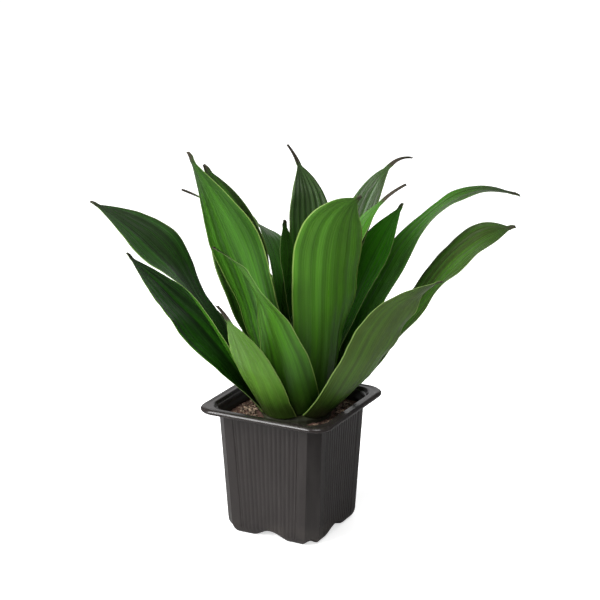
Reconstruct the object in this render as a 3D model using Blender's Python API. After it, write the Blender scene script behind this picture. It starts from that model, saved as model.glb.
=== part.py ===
"""A potted dracaena: a square nursery pot, its soil, a short stem and a rosette of separate leaves.

Metres, +Z up. The origin is the middle of the pot's underside, and the pot's sides face along X and Y.
"""
import math
from dataclasses import dataclass

import bmesh
import bpy
from mathutils import Vector, noise

GAP = 0.0003

# Pot: the driving size is the rim, the 108 mm of a nominal four-inch square pot
RIM_HALF = 0.054
POT_HEIGHT = 0.101
WALL_HALF_TOP = 0.0433
WALL_HALF_FOOT = 0.0382
WALL = 0.0014
CHAMFER = 0.0079
RIM_CORNER = 0.014
RIM_DROP = 0.0038
FILLET_HEIGHT = 0.009
FILLET_INSET = 0.0055
ARCH_HEIGHT = 0.006
ARCH_HALF = 0.017
CORNER_ARCH_HEIGHT = 0.002
FOOT_WIDTH = 0.0022
FLOOR_LOW = 0.0085
FLOOR_TOP = 0.0099
PAD_RADIUS = 0.011
DRAIN_RADIUS = 0.004
DRAIN_REACH = 0.025
DRAIN_SIDES = 16
SIDE_SPANS = 12
CORNER_SPANS = 4

# Soil and stem
SOIL_LEVEL = 0.091
SOIL_BUMP = 0.0012
PLANT = Vector((0.005, -0.002, 0.0))
STEM_RADIUS = 0.026
STEM_TIP_RADIUS = 0.004
STEM_RISE = 0.075
STEM_DEPTH = 0.030
STEM_SIDES = 24

# Leaves
BLADE = 0.0008
DRY_HALF = 0.0024
TIP_HALF = 0.0014
DRY_CURL = 1.4
LEAF_SPANS = 14
LEAF_COLUMNS = 4


@dataclass
class Leaf:
    """One leaf: where it leaves the stem, where its tip is, and how its blade bends and turns between.

    Angles are in degrees and lengths in millimetres. Azimuths run anticlockwise from +X, seen from above.
    Seat is the root's height above the soil, and the tip's height is above the soil too. Heading and
    azimuth are the azimuths of root and tip, rise and fall the slopes there, and lean and swing turn the
    midrib's direction there sideways. Roll turns the blade about its midrib, from root to tip. Root is the
    share of the width at the root, widest the place of the full width, and dry the share of the length
    that is a thin withered tip. Cup bends the blade upwards across its width, wave is the height of each
    edge's waves and their number, tug says how far the root's and the tip's directions carry, and blunt
    widens the tip.
    """

    seat: float
    heading: float
    rise: float
    azimuth: float
    reach: float
    height: float
    fall: float
    width: float
    roll: tuple = (0, 0, 0, 0)
    root: float = 0.55
    dry: float = 0.02
    widest: float = 0.55
    swing: float = 0.0
    lean: float = 0.0
    cup: tuple = (30, 12)
    wave: tuple = (0.0, 0.0, 4)
    tug: tuple = (0.36, 0.36)
    blunt: float = 1.0


# Seat, heading and rise at the root, then azimuth, reach, height and fall at the tip, then width and roll
LEAVES = [
    Leaf(1, 202, 58, 187, 138, 110, 42, 50, (0, -20, -22, -12, -8, -5), root=0.6, widest=0.5, tug=(0.42, 0.36)),
    Leaf(1, 44, 37, 34, 163, 138, 3, 37, (0, 5, 11, 22), root=0.45, widest=0.8, blunt=1.2, wave=(2, 0, 4),
         tug=(0.42, 0.29)),
    Leaf(1.5, 98, 48, 95, 128, 104, 20, 44, root=0.45),
    Leaf(2.5, 148, 50, 141, 106, 98, 20, 42, root=0.4),
    Leaf(2.5, 258, 58, 261, 94, 106, 45, 41, root=0.92, dry=0.14, widest=0.4, blunt=1.2),
    Leaf(2.2, -14, 44, -11, 129, 125, 22, 43, (0, -15, -22, -15), root=0.92, widest=0.5, tug=(0.45, 0.36),
         wave=(0, 2, 4)),
    Leaf(6, 205, 58.5, 197, 156, 155, 24, 53, (0, 5, -20, -14), root=0.5, widest=0.6, tug=(0.58, 0.33)),
    Leaf(6, 53, 61, 44, 175, 154, -24, 35, (0, 5, 5, -12, 0, 20), root=0.78, tug=(0.5, 0.37)),
    Leaf(6, 296, 62, 250, 80, 142, 25, 41, (0, 0, -12, -27, -8, -15), root=1.05, widest=0.15, tug=(0.5, 0.25),
         lean=-16, swing=-20),
    Leaf(10, 338, 80, 343, 64, 177, 30, 52, (0, -8, -32, -42, -50, -60), root=0.94, widest=0.6, tug=(0.55, 0.25),
         lean=15, swing=25),
    Leaf(9, 120, 62, 118, 100, 104, 10, 42, root=0.5),
    Leaf(12, 83, 64, 81, 88, 95, 10, 38, root=0.5),
    Leaf(16, 260, 76, 211, 79, 200, 62, 50, (0, 10, 35, 30), root=0.7, widest=0.66, tug=(0.4, 0.4),
         lean=-20, blunt=1.5),
    Leaf(24, 187, 65, 184, 75, 183, 52, 42, (0, -35, -65, -50), root=0.42, widest=0.55, tug=(0.42, 0.38)),
    Leaf(20, 55, 68, 56, 91, 150, 50, 34, (0, 5, 15, 10), root=0.72, widest=0.62, tug=(0.5, 0.3)),
    Leaf(34, 137, 86, 171, 109, 155, 24, 35, (0, 10, 30, 20), root=0.4, dry=0.06, blunt=1.5, swing=40, lean=10, tug=(0.74, 0.5)),
    Leaf(30, 10, 72, 41, 83, 170, 25, 31, (0, 10, 15, 10), root=0.6, dry=0.14, lean=15, blunt=1.2, tug=(0.52, 0.35)),
    Leaf(38, 72, 68, 62, 105, 181, -12, 32, root=0.4, dry=0.2, lean=-14, blunt=1.3, widest=0.5, tug=(0.6, 0.22)),
    Leaf(46, 95, 82, 124, 66, 190, 45, 33, root=0.5, dry=0.14, swing=50, widest=0.6, tug=(0.55, 0.26)),
    Leaf(50, 240, 86, 160, 14, 146, 80, 30, root=0.7),
]


def slope_direction(azimuth, slope):
    """Unit vector for an azimuth and a slope above the horizontal, both in degrees."""
    turn = math.radians(azimuth)
    lift = math.radians(slope)
    return Vector((math.cos(lift) * math.cos(turn), math.cos(lift) * math.sin(turn), math.sin(lift)))


def stem_radius(height):
    """Radius of the stem at a height above the soil."""
    share = min(max(height / STEM_RISE, 0.0), 1.0)
    return STEM_RADIUS + (STEM_TIP_RADIUS - STEM_RADIUS) * share


def ease(value):
    """Smooth step from 0 to 1."""
    share = min(max(value, 0.0), 1.0)
    return share * share * (3.0 - 2.0 * share)


def between(low, high, share):
    """Straight mix of two numbers."""
    return low + (high - low) * share


def along_leaf(values, share):
    """Smooth change through values that are evenly spaced from root to tip."""
    place = min(share, 0.9999) * (len(values) - 1)
    step = int(place)
    return between(values[step], values[step + 1], ease(place - step))


def midrib(leaf):
    """The four control points of the curve that the midrib follows."""
    seat = leaf.seat * 0.001
    out = stem_radius(seat) + GAP + BLADE
    root = PLANT + slope_direction(leaf.heading, 0.0) * out + Vector((0.0, 0.0, SOIL_LEVEL + seat))
    tip = PLANT + slope_direction(leaf.azimuth, 0.0) * leaf.reach * 0.001
    tip.z = SOIL_LEVEL + leaf.height * 0.001
    span = (tip - root).length
    first = root + slope_direction(leaf.heading + leaf.lean, leaf.rise) * span * leaf.tug[0]
    last = tip - slope_direction(leaf.azimuth + leaf.swing, leaf.fall) * span * leaf.tug[1]
    return root, first, last, tip


def curve_point(points, share):
    """Point and unit direction on a cubic curve."""
    rest = 1.0 - share
    spot = (points[0] * rest ** 3 + points[1] * 3.0 * rest ** 2 * share
            + points[2] * 3.0 * rest * share ** 2 + points[3] * share ** 3)
    along = ((points[1] - points[0]) * rest ** 2 + (points[2] - points[1]) * 2.0 * rest * share
             + (points[3] - points[2]) * share ** 2)
    return spot, along.normalized()


def dry_share(leaf, share):
    """How far along the dry tip a place is: 0 on the living blade, 1 at the very end."""
    return min(max((share - 1.0 + leaf.dry) / leaf.dry, 0.0), 1.0)


def half_width(leaf, share):
    """Half the blade's width: narrow at the root, widest past the middle, drawn out to a point."""
    full = leaf.width * 0.0005
    live = share / (1.0 - leaf.dry)
    if live < leaf.widest:
        return full * between(leaf.root, 1.0, math.sin(live / leaf.widest * math.pi / 2.0) ** 1.3)
    run = min((live - leaf.widest) / (1.0 - leaf.widest), 1.0)
    tip_half = between(DRY_HALF, TIP_HALF, dry_share(leaf, share)) * leaf.blunt
    return max(full * (1.0 - run ** 2.2) * (1.0 - 0.15 * run), tip_half)


def blade_point(leaf, points, share, across):
    """A point of the blade: share runs from root to tip and across from -1 to 1."""
    spot, along = curve_point(points, share)
    turn = between(leaf.heading, leaf.azimuth + leaf.swing, share)
    flat = slope_direction(turn + 90.0, 0.0)
    side = (flat - along * along.dot(flat)).normalized()
    up = along.cross(side)
    roll = math.radians(along_leaf(leaf.roll, share))
    side_now = side * math.cos(roll) + up * math.sin(roll)
    up_now = up * math.cos(roll) - side * math.sin(roll)
    half = half_width(leaf, share)
    root_cup = half / (stem_radius(leaf.seat * 0.001) + GAP + BLADE)
    free_cup = math.radians(between(leaf.cup[0], leaf.cup[1], share))
    cup = max(between(root_cup, free_cup, ease(share / 0.35)), 0.02)
    cup = between(cup, DRY_CURL, dry_share(leaf, share + 0.01))
    sideways = half * math.sin(cup * across) / cup
    lift = half * (1.0 - math.cos(cup * across)) / cup
    edge = leaf.wave[0] if across < 0.0 else leaf.wave[1]
    swell = math.sin(math.pi * min(max((share - 0.15) / 0.8, 0.0), 1.0))
    ripple = edge * 0.001 * across * across * swell * math.sin(2.0 * math.pi * leaf.wave[2] * share)
    return spot + side_now * sideways + up_now * (lift + ripple)


def material(name, colour, roughness):
    """A plain Principled material."""
    made = bpy.data.materials.new(name)
    made.use_nodes = True
    shader = made.node_tree.nodes["Principled BSDF"]
    shader.inputs["Base Color"].default_value = (*colour, 1.0)
    shader.inputs["Roughness"].default_value = roughness
    shader.inputs["Metallic"].default_value = 0.0
    return made


def add_object(name, mesh_builder, finish):
    """Make a mesh object from a filled bmesh."""
    mesh = bpy.data.meshes.new(name)
    mesh_builder.to_mesh(mesh)
    mesh_builder.free()
    made = bpy.data.objects.new(name, mesh)
    mesh.materials.append(finish)
    bpy.context.scene.collection.objects.link(made)
    return made


def add_leaf(name, leaf, finish):
    """A grid bent to the leaf's blade, split into triangles and given its thickness."""
    builder = bmesh.new()
    bmesh.ops.create_grid(builder, x_segments=LEAF_SPANS, y_segments=LEAF_COLUMNS, size=1.0)
    points = midrib(leaf)
    for vertex in builder.verts:
        share = (vertex.co.x + 1.0) / 2.0
        vertex.co = blade_point(leaf, points, share, vertex.co.y)
    bmesh.ops.triangulate(builder, faces=builder.faces)
    made = add_object(name, builder, finish)
    skin = made.modifiers.new("thickness", "SOLIDIFY")
    skin.thickness = BLADE
    skin.offset = 0.0
    made.data.shade_smooth()
    return made


def side_level(along):
    """Height of the foot's edge at a distance from the middle of a side: an arch between two feet."""
    if abs(along) < ARCH_HALF:
        return ARCH_HEIGHT * 0.5 * (1.0 + math.cos(math.pi * along / ARCH_HALF)) ** 0.8
    return 0.0


def outline(half, cut, roundness):
    """Points round a square with cut corners, whose corners go from straight cuts to round ones.

    Each point comes with its share of the side, from -1 to 1, or None on a corner and its share there.
    """
    flat = half - cut
    side = []
    for step in range(SIDE_SPANS):
        along = between(-flat, flat, step / SIDE_SPANS)
        side.append((along, -half, "side", along))
    for step in range(CORNER_SPANS):
        share = step / CORNER_SPANS
        turn = share * math.pi / 2.0
        straight_x = between(flat, half, share)
        straight_y = between(-half, -flat, share)
        round_x = flat + cut * math.sin(turn)
        round_y = -flat - cut * math.cos(turn)
        x = between(straight_x, round_x, roundness)
        y = between(straight_y, round_y, roundness)
        side.append((x, y, "corner", share))
    points = []
    for quarter in range(4):
        turn = quarter * math.pi / 2.0
        for x, y, kind, share in side:
            points.append((x * math.cos(turn) - y * math.sin(turn),
                           x * math.sin(turn) + y * math.cos(turn), kind, share))
    return points


def foot_level(kind, share):
    """Height of the foot's lower edge at a point of the outline."""
    if kind == "side":
        return side_level(share)
    return CORNER_ARCH_HEIGHT * math.sin(math.pi * share)


def wall_half(height):
    """Half the pot's outer width at a height."""
    return between(WALL_HALF_FOOT, WALL_HALF_TOP, height / POT_HEIGHT)


def ring(inset, height, cut=CHAMFER, roundness=0.0, foot=0.0, half=None):
    """One closed ring of points; foot lowers it from a level height to the scalloped lower edge."""
    outer = wall_half(height) if half is None else half
    points = []
    for x, y, kind, share in outline(outer - inset, cut, roundness):
        level = foot_level(kind, share)
        points.append(Vector((x, y, between(height, level, foot))))
    return points


def round_ring(radius, height):
    """A circle with the same number of points as an outline, turned to match it."""
    points = []
    for x, y, _, _ in outline(WALL_HALF_FOOT, CHAMFER, 0.0):
        turn = math.atan2(y, x)
        points.append(Vector((radius * math.cos(turn), radius * math.sin(turn), height)))
    return points


def loft(rings, low_pole, high_pole):
    """A closed skin through rings of equal count, ended by a point at each end."""
    builder = bmesh.new()
    rows = [[builder.verts.new(point) for point in ring_points] for ring_points in rings]
    count = len(rows[0])
    for lower, upper in zip(rows, rows[1:]):
        for index in range(count):
            after = (index + 1) % count
            builder.faces.new((lower[index], lower[after], upper[after], upper[index]))
    for row, pole in ((rows[0], low_pole), (rows[-1], high_pole)):
        middle = builder.verts.new(pole)
        for index in range(count):
            builder.faces.new((row[index], row[(index + 1) % count], middle))
    bmesh.ops.recalc_face_normals(builder, faces=builder.faces)
    return builder


def pot_rings():
    """Rings of the pot's skin, from the pad under its floor, round the foot, wall and rim, to its floor."""
    floor_inset = FOOT_WIDTH + 0.001
    rings = [
        round_ring(PAD_RADIUS, 0.0),
        round_ring(PAD_RADIUS + 0.001, FLOOR_LOW),
        ring(floor_inset, FLOOR_LOW),
        ring(FILLET_INSET + FOOT_WIDTH, FLOOR_LOW, foot=1.0, half=WALL_HALF_FOOT),
        ring(FILLET_INSET, FLOOR_LOW, foot=1.0, half=WALL_HALF_FOOT),
        ring(FILLET_INSET * 0.35, FILLET_HEIGHT, foot=0.75),
        ring(FILLET_INSET * 0.10, FILLET_HEIGHT, foot=0.4),
        ring(0.0, FILLET_HEIGHT),
        ring(0.0, POT_HEIGHT * 0.5),
    ]
    lip = POT_HEIGHT - RIM_DROP
    rim_profile = [
        (WALL_HALF_TOP - 0.0003, lip - 0.003, 0.0), (WALL_HALF_TOP + 0.0012, lip + 0.0015, 0.2),
        (RIM_HALF - 0.0045, lip + 0.0030, 0.9), (RIM_HALF - 0.0022, lip + 0.0022, 1.0),
        (RIM_HALF - 0.0018, lip, 1.0), (RIM_HALF - 0.0006, lip, 1.0),
        (RIM_HALF, lip + 0.0022, 1.0), (RIM_HALF - 0.0008, POT_HEIGHT - 0.0016, 1.0),
        (RIM_HALF - 0.0032, POT_HEIGHT, 1.0), (RIM_HALF - 0.0062, POT_HEIGHT - 0.0004, 1.0),
        (RIM_HALF - 0.0086, POT_HEIGHT - 0.0022, 0.8), (WALL_HALF_TOP - WALL, lip - 0.003, 0.0)]
    for half, height, roundness in rim_profile:
        cut = between(CHAMFER, RIM_CORNER, roundness)
        rings.append(ring(0.0, height, cut=cut, roundness=roundness, half=half))
    rings.append(ring(WALL, POT_HEIGHT * 0.5))
    rings.append(ring(WALL, FLOOR_TOP))
    return rings


def add_pot(finish):
    """The pot, with a drain hole cut through the floor towards each corner."""
    builder = loft(pot_rings(), Vector((0.0, 0.0, 0.0)), Vector((0.0, 0.0, FLOOR_TOP)))
    pot = add_object("pot", builder, finish)
    drill = bmesh.new()
    for quarter in range(4):
        turn = quarter * math.pi / 2.0 + math.pi / 4.0
        centre = Vector((math.cos(turn) * DRAIN_REACH, math.sin(turn) * DRAIN_REACH, FLOOR_LOW))
        hole = bmesh.ops.create_cone(drill, cap_ends=True, segments=DRAIN_SIDES, radius1=DRAIN_RADIUS,
                                     radius2=DRAIN_RADIUS, depth=0.01)
        bmesh.ops.translate(drill, verts=hole["verts"], vec=centre)
    cutter = add_object("drain_cutter", drill, finish)
    cutter.hide_render = True
    cutter.display_type = "WIRE"
    cut = pot.modifiers.new("drain holes", "BOOLEAN")
    cut.operation = "DIFFERENCE"
    cut.object = cutter
    pot.data.shade_smooth()
    pot.data.set_sharp_from_angle(angle=math.radians(30.0))
    return pot


def add_soil(finish):
    """The soil, filling the pot up to a gently uneven top, with a plain hole for the stem."""
    base = FLOOR_TOP + GAP
    inside = WALL + GAP
    hole = STEM_RADIUS + GAP
    rings = [ring(inside, base), ring(inside, SOIL_LEVEL - 0.004)]
    edge = ring(inside, SOIL_LEVEL - 0.0005)
    rings.append(edge)
    mouth = []
    for point in edge:
        way = Vector((point.x - PLANT.x, point.y - PLANT.y, 0.0)).normalized()
        mouth.append(PLANT + way * hole)
    for share in (0.3, 0.65, 1.0):
        row = []
        for outer, inner in zip(edge, mouth):
            spot = outer.lerp(inner, share)
            bump = noise.noise(Vector((spot.x, spot.y, 0.0)) * 140.0) * SOIL_BUMP
            row.append(Vector((spot.x, spot.y, SOIL_LEVEL - 0.0005 + bump * (1.0 - share * 0.6))))
        rings.append(row)
    rings.append([Vector((point.x, point.y, SOIL_LEVEL - STEM_DEPTH)) for point in mouth])
    builder = loft(rings, Vector((0.0, 0.0, base)),
                   Vector((PLANT.x, PLANT.y, SOIL_LEVEL - STEM_DEPTH)))
    return add_object("soil", builder, finish)


def add_stem(finish):
    """The short stem, a cylinder in the soil and a cone above it."""
    foot = SOIL_LEVEL - STEM_DEPTH + GAP
    heights = [foot, SOIL_LEVEL] + [SOIL_LEVEL + STEM_RISE * step / 6.0 for step in range(1, 7)]
    builder = bmesh.new()
    rows = []
    for height in heights:
        radius = stem_radius(height - SOIL_LEVEL)
        row = []
        for step in range(STEM_SIDES):
            turn = 2.0 * math.pi * step / STEM_SIDES
            spot = PLANT + slope_direction(math.degrees(turn), 0.0) * radius
            row.append(builder.verts.new((spot.x, spot.y, height)))
        rows.append(row)
    for lower, upper in zip(rows, rows[1:]):
        for step in range(STEM_SIDES):
            after = (step + 1) % STEM_SIDES
            builder.faces.new((lower[step], lower[after], upper[after], upper[step]))
    builder.faces.new(rows[0])
    builder.faces.new(rows[-1])
    bmesh.ops.recalc_face_normals(builder, faces=builder.faces)
    return add_object("stem", builder, finish)


def main():
    """Clear the scene and build every piece."""
    for old in list(bpy.data.objects):
        bpy.data.objects.remove(old)
    plastic = material("pot plastic", (0.045, 0.045, 0.050), 0.45)
    earth = material("soil", (0.035, 0.022, 0.015), 0.95)
    bark = material("stem", (0.20, 0.28, 0.08), 0.6)
    green = material("leaf", (0.05, 0.16, 0.03), 0.4)
    add_pot(plastic)
    add_soil(earth)
    add_stem(bark)
    for number, leaf in enumerate(LEAVES, start=1):
        add_leaf(f"leaf_{number:02d}", leaf, green)


main()
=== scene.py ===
"""Looks of the potted dracaena: ribbed nursery pot, potting mix, and twenty veined leaf blades."""

import math
import random
from dataclasses import dataclass

import bmesh
import bpy
from mathutils import Matrix, Vector, noise


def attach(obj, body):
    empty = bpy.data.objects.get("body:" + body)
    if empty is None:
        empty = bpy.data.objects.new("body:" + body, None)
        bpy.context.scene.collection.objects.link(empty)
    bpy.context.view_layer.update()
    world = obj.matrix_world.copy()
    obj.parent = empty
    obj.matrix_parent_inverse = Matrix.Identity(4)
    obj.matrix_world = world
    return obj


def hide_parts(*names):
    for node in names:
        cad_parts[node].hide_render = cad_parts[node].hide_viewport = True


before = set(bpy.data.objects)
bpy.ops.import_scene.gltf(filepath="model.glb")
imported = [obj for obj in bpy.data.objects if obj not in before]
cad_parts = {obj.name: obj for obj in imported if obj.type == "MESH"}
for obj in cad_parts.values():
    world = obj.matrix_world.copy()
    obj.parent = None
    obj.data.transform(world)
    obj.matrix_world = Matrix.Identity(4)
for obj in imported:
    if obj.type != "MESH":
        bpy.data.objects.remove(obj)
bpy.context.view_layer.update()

# Lengths are in metres. The gap keeps a piece clear of its neighbour.
GAP = 0.0003

# Pot
RIM_HALF = 0.054
POT_HEIGHT = 0.101
WALL_HALF_TOP = 0.0433
WALL_HALF_FOOT = 0.0382
WALL = 0.0014
CHAMFER = 0.0079
RIM_CORNER = 0.014
RIM_DROP = 0.0038
LIP = POT_HEIGHT - RIM_DROP
RIM_STEPS = 4
FILLET_HEIGHT = 0.009
FILLET_INSET = 0.0055
FILLET_STEPS = 8
WALL_STEPS = 8
ARCH_HEIGHT = 0.006
ARCH_HALF = 0.017
CORNER_ARCH_HEIGHT = 0.002
FOOT_WIDTH = 0.0022
FLOOR_LOW = 0.0085
FLOOR_TOP = 0.0099
FLOOR_EDGE = 0.007
PAD_RADIUS = 0.011
PAD_EDGE = 0.0006
PAD_FLARE = 0.001
DRAIN_RADIUS = 0.004
DRAIN_REACH = 0.025
DRAIN_DEPTH = 0.01
DRAIN_SIDES = 32
SIDE_POINTS = 168
CORNER_POINTS = 10
RIBS = 14
RIB_DEPTH = 0.00032
PLAIN_BAND = 0.008
GROOVE_DEPTH = 0.0005
GROOVE_WIDTH = 0.0009
RIBS_END = 0.006
RIBS_FADE = 0.0045
POT_CREASE = 32.0

# The rim's section, from the wall out round the lip and in again: half width, height, corner roundness
RIM_PROFILE = [
    (WALL_HALF_TOP - 0.0003, LIP - 0.003, 0.0),
    (WALL_HALF_TOP + 0.0012, LIP + 0.0008, 0.2),
    (RIM_HALF - 0.0045, LIP + 0.0016, 0.9),
    (RIM_HALF - 0.0022, LIP + 0.0010, 1.0),
    (RIM_HALF - 0.0014, LIP, 1.0),
    (RIM_HALF - 0.0005, LIP + 0.0003, 1.0),
    (RIM_HALF, LIP + 0.0015, 1.0),
    (RIM_HALF - 0.0005, POT_HEIGHT - 0.0010, 1.0),
    (RIM_HALF - 0.0021, POT_HEIGHT, 1.0),
    (RIM_HALF - 0.0045, POT_HEIGHT - 0.0004, 1.0),
    (RIM_HALF - 0.0068, POT_HEIGHT - 0.0005, 1.0),
    (RIM_HALF - 0.0080, POT_HEIGHT - 0.0018, 0.9),
    (RIM_HALF - 0.0100, POT_HEIGHT - 0.0048, 0.6),
    (WALL_HALF_TOP - WALL, LIP - 0.004, 0.3),
]

# Soil and stem
SOIL_LEVEL = 0.091
SOIL_AROUND = 360
SOIL_ROUNDS = 46
SOIL_CREASE = 60.0
BARK_BITS = 420
PALE_SHARE = 0.09
BITS_MARGIN = 0.004
PLANT = Vector((0.005, -0.002, 0.0))
STEM_RADIUS = 0.026
STEM_TIP_RADIUS = 0.004
STEM_RISE = 0.075
STEM_DEPTH = 0.030

# Leaves: BLADE is the thickness of the part's own blade, LIVE_BLADE that of the finer one
BLADE = 0.0008
LIVE_BLADE = 0.0006
DRY_HALF = 0.0024
TIP_HALF = 0.0014
DRY_CURL = 1.4
LEAF_SPANS = 110
LEAF_COLUMNS = 28
PATTERN_STEP = 7.3
OLIVE = (0.095, 0.130, 0.026)
# Painted shade for the grooves of the lengthwise folds
GROOVE_SHADE_GREEN = (0.014, 0.030, 0.008)
# Painted shade for the leaf bases, where the leaves crowd round the stem
BASE_SHADE_GREEN = (0.008, 0.020, 0.002)
END_GREEN = (0.012, 0.026, 0.006)
DRY_DARK = (0.016, 0.015, 0.009)
DRY_LIGHT = (0.056, 0.044, 0.028)
MIDRIB_GROOVE = 0.0006
MIDRIB_WIDTH = 0.07
DRIFT = 0.0009
EDGE_RIPPLE = 0.0006

# Studio: angles in degrees, lens and sensor in millimetres
FLOOR_HALF = 3.0
CAMERA_AZIMUTH = 27.5
CAMERA_ELEVATION = 16.9
CAMERA_DISTANCE = 1.5
CAMERA_RIGHT = 0.00597
CAMERA_UP = 0.1697
CAMERA_LENS = 117.5
CAMERA_SENSOR = 36.0


@dataclass
class Leaf:
    """One leaf's midrib, outline and turn, and then its colour and surface, in millimetres and degrees.

    Seat is the height of the root above the soil, heading and rise its direction there. Azimuth, reach
    and height place the tip, and fall is how steeply the blade comes down to it. Tug sets how far the
    midrib keeps to those two directions, lean turns the first aside and swing the last. Root, widest and
    blunt shape the outline, dry is the dry tip's share of the length, and roll, cup and wave turn, hollow
    and ripple the blade. Tone runs from the darkest green up, fade is how far it drops from root to tip
    and halves is painted shade, how much darker one side of the midrib is than the other. The grey cast
    set by bloom is a painted sheen of reflected light, olive is a yellow cast, pleat the depth of the
    lengthwise folds and folds their number.
    """

    seat: float
    heading: float
    rise: float
    azimuth: float
    reach: float
    height: float
    fall: float
    width: float
    roll: tuple = (0, 0, 0, 0)
    root: float = 0.55
    dry: float = 0.02
    widest: float = 0.55
    swing: float = 0.0
    lean: float = 0.0
    cup: tuple = (30, 12)
    wave: tuple = (0.0, 0.0, 4)
    tug: tuple = (0.36, 0.36)
    tone: float = 0.4
    fade: float = 0.1
    half_shade: float = 0.0
    grey_sheen: float = 0.0
    olive: float = 0.2
    pleat: float = 0.25
    folds: int = 7
    blunt: float = 1.0


LEAVES = [
    Leaf(1, 202, 58, 187, 138, 110, 42, 50, (0, -20, -22, -12, -8, -5), root=0.6, widest=0.5,
         tug=(0.42, 0.36), tone=0.4, grey_sheen=0.1, olive=0.0),
    Leaf(1, 44, 37, 34, 163, 138, 3, 37, (0, 5, 11, 22), root=0.45, widest=0.8, blunt=1.2,
         wave=(2, 0, 4), tug=(0.42, 0.29), tone=0.6, fade=0.55, olive=0.45),
    Leaf(1.5, 98, 48, 95, 128, 104, 20, 44, root=0.45, tone=0.35),
    Leaf(2.5, 148, 50, 141, 106, 98, 20, 42, root=0.4, tone=0.3),
    Leaf(2.5, 258, 58, 261, 94, 106, 45, 41, root=0.92, dry=0.14, widest=0.4, blunt=1.2,
         tone=1.0, fade=-0.1, olive=0.75),
    Leaf(2.2, -14, 44, -11, 129, 125, 22, 43, (0, -15, -22, -15), root=0.92, widest=0.5,
         wave=(0, 2, 4), tug=(0.45, 0.36), tone=0.55, olive=0.75),
    Leaf(6, 205, 58.5, 197, 156, 155, 24, 53, (0, 5, -20, -14), root=0.5, widest=0.6, tug=(0.58, 0.33),
         tone=0.55, fade=0.5, grey_sheen=0.3, olive=0.0),
    Leaf(6, 53, 61, 44, 175, 154, -24, 35, (0, 5, 5, -12, 0, 20), root=0.78, tug=(0.5, 0.37),
         tone=1.8, fade=1.9, olive=0.3),
    Leaf(6, 296, 62, 250, 80, 142, 25, 41, (0, 0, -12, -27, -8, -15), root=1.05, widest=0.15,
         swing=-20, lean=-16, tug=(0.5, 0.25), tone=0.6, grey_sheen=0.7),
    Leaf(10, 338, 80, 343, 64, 177, 30, 52, (0, -8, -32, -42, -50, -60), root=0.94, widest=0.6,
         swing=25, lean=15, tug=(0.55, 0.25), tone=1.35, fade=0.6, half_shade=-0.15, olive=0.35,
         pleat=0.4, folds=6),
    Leaf(9, 120, 62, 118, 100, 104, 10, 42, root=0.5, tone=0.35),
    Leaf(12, 83, 64, 81, 88, 95, 10, 38, root=0.5),
    Leaf(16, 260, 76, 211, 79, 200, 62, 50, (0, 10, 35, 30), root=0.7, widest=0.66, blunt=1.5,
         lean=-20, tug=(0.4, 0.4), half_shade=0.25, olive=0.05, pleat=0.3),
    Leaf(24, 187, 65, 184, 75, 183, 52, 42, (0, -35, -65, -50), root=0.42, tug=(0.42, 0.38),
         tone=0.3, grey_sheen=0.1),
    Leaf(20, 55, 68, 56, 91, 150, 50, 34, (0, 5, 15, 10), root=0.72, widest=0.62,
         tug=(0.5, 0.3), tone=1.5, olive=0.05),
    Leaf(34, 137, 86, 171, 109, 155, 24, 35, (0, 10, 30, 20), root=0.4, dry=0.06, blunt=1.5,
         swing=40, lean=10, tug=(0.74, 0.5), tone=1.2, grey_sheen=0.9),
    Leaf(30, 10, 72, 41, 83, 170, 25, 31, (0, 10, 15, 10), root=0.6, dry=0.14, blunt=1.2,
         lean=15, tug=(0.52, 0.35), tone=1.1, olive=0.4),
    Leaf(38, 72, 68, 62, 105, 181, -12, 32, root=0.4, dry=0.2, widest=0.5, blunt=1.3,
         lean=-14, tug=(0.6, 0.22), tone=0.35, grey_sheen=0.55, pleat=0.8),
    Leaf(46, 95, 82, 124, 66, 190, 45, 33, root=0.5, dry=0.14, widest=0.6,
         swing=50, tug=(0.55, 0.26), tone=0.7, grey_sheen=0.9, pleat=0.8),
    Leaf(50, 240, 86, 160, 14, 146, 80, 30, root=0.7, tone=0.6),
]


def slope_direction(azimuth, slope):
    """Unit vector for an azimuth and a slope above the horizontal, both in degrees."""
    turn = math.radians(azimuth)
    lift = math.radians(slope)
    return Vector((math.cos(lift) * math.cos(turn), math.cos(lift) * math.sin(turn), math.sin(lift)))


def stem_radius(height):
    """Radius of the stem at a height above the soil."""
    share = min(max(height / STEM_RISE, 0.0), 1.0)
    return STEM_RADIUS + (STEM_TIP_RADIUS - STEM_RADIUS) * share


def ease(value):
    """Smooth step from 0 to 1."""
    share = min(max(value, 0.0), 1.0)
    return share * share * (3.0 - 2.0 * share)


def between(low, high, share):
    """Straight mix of two numbers."""
    return low + (high - low) * share


def along_leaf(values, share):
    """Smooth change through values that are evenly spaced from root to tip."""
    place = min(share, 0.9999) * (len(values) - 1)
    step = int(place)
    return between(values[step], values[step + 1], ease(place - step))


def midrib(leaf):
    """The four control points of the curve that the midrib follows."""
    seat = leaf.seat * 0.001
    out = stem_radius(seat) + GAP + BLADE
    root = PLANT + slope_direction(leaf.heading, 0.0) * out + Vector((0.0, 0.0, SOIL_LEVEL + seat))
    tip = PLANT + slope_direction(leaf.azimuth, 0.0) * leaf.reach * 0.001
    tip.z = SOIL_LEVEL + leaf.height * 0.001
    span = (tip - root).length
    first = root + slope_direction(leaf.heading + leaf.lean, leaf.rise) * span * leaf.tug[0]
    last = tip - slope_direction(leaf.azimuth + leaf.swing, leaf.fall) * span * leaf.tug[1]
    return root, first, last, tip


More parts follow.
